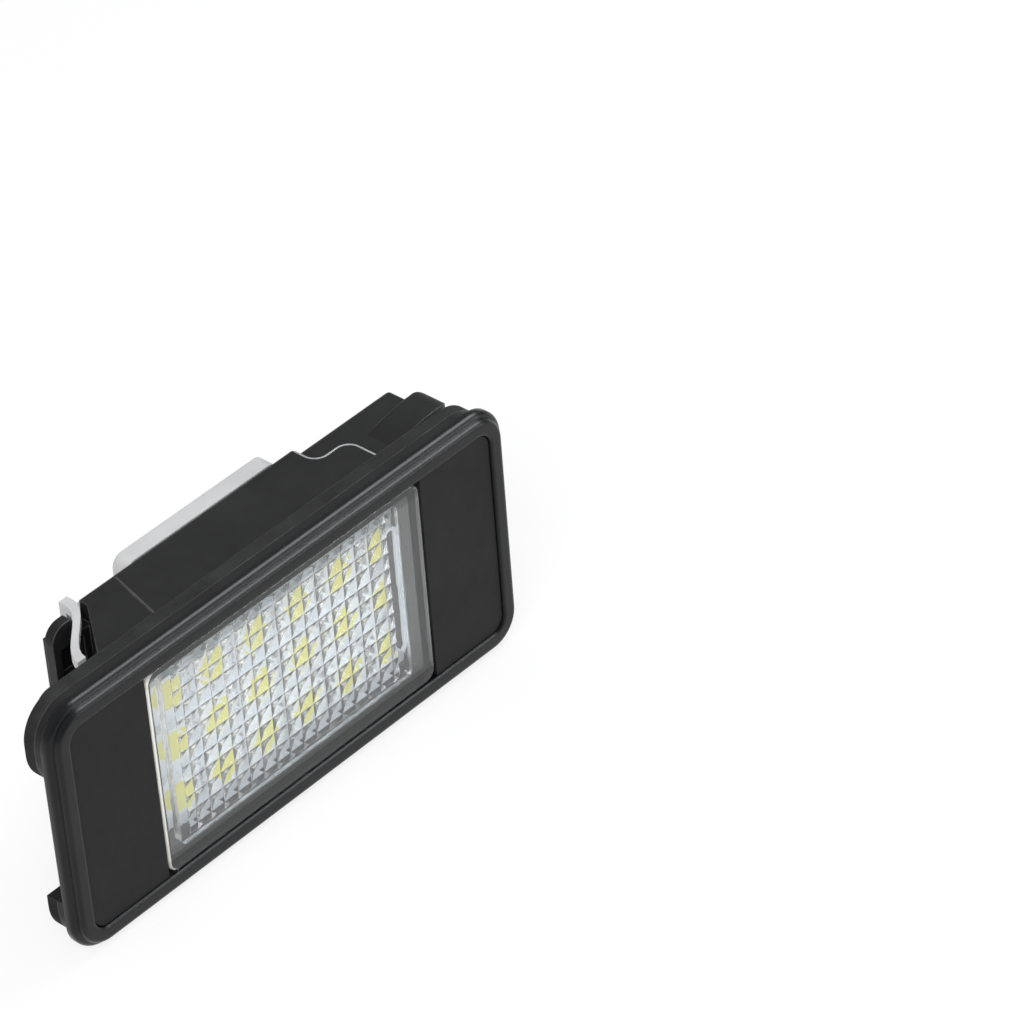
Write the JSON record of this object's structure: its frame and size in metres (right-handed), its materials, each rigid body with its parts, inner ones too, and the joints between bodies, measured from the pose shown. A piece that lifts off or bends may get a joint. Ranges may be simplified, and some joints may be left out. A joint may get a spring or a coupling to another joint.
{
  "type": "number plate lamp",
  "caption": "Rectangular lamp for a car's number plate: black frame, prismatic clear lens over light emitting diodes, gasket, snap-in housing and plug socket behind.",
  "frame": {"origin": "middle of the seat plane, where the gasket's back meets the car body", "axes": "+X along the length, towards the hook end; +Y backwards, into the car body, so that the lens faces -Y; +Z along the height"},
  "size_m": [0.0746, 0.0247, 0.0346],
  "materials": {
    "frame_black": "gloss black moulded plastic",
    "clear_lens": "clear polycarbonate",
    "panel_black": "satin black plastic",
    "housing_black": "satin black moulded plastic",
    "gasket_rubber": "matt foam rubber",
    "cover_grey": "light grey plastic",
    "diode_board": "white solder mask on glass fibre board",
    "diode_body": "white diode package",
    "diode_yellow": "yellow phosphor under clear resin",
    "driver_green": "green solder mask",
    "package_black": "black component package",
    "can_metal": "capacitor can",
    "pin_brass": "tinned brass pin",
    "terminal_brass": "brass blade"
  },
  "bodies": {
    "root": {"bezel": "frame_black", "lens": "clear_lens", "end_panel_left": "panel_black", "end_panel_right": "panel_black", "housing": "housing_black", "gasket": "gasket_rubber", "rear_cover": "cover_grey", "led_board": "diode_board", "led_r1_c1": "diode_body", "led_r1_c2": "diode_body", "led_r1_c3": "diode_body", "led_r1_c4": "diode_body", "led_r1_c5": "diode_body", "led_r1_c6": "diode_body", "led_r2_c1": "diode_body", "led_r2_c2": "diode_body", "led_r2_c3": "diode_body", "led_r2_c4": "diode_body", "led_r2_c5": "diode_body", "led_r2_c6": "diode_body", "led_r3_c1": "diode_body", "led_r3_c2": "diode_body", "led_r3_c3": "diode_body", "led_r3_c4": "diode_body", "led_r3_c5": "diode_body", "led_r3_c6": "diode_body", "led_phosphor": "diode_yellow", "driver_board": "driver_green", "rectifier": "package_black", "regulator": "package_black", "capacitor": "can_metal", "resistor_upper": "package_black", "resistor_lower": "package_black", "link_pin_upper": "pin_brass", "link_pin_lower": "pin_brass", "terminal_left": "terminal_brass", "terminal_right": "terminal_brass"}
  },
  "joints": []
}
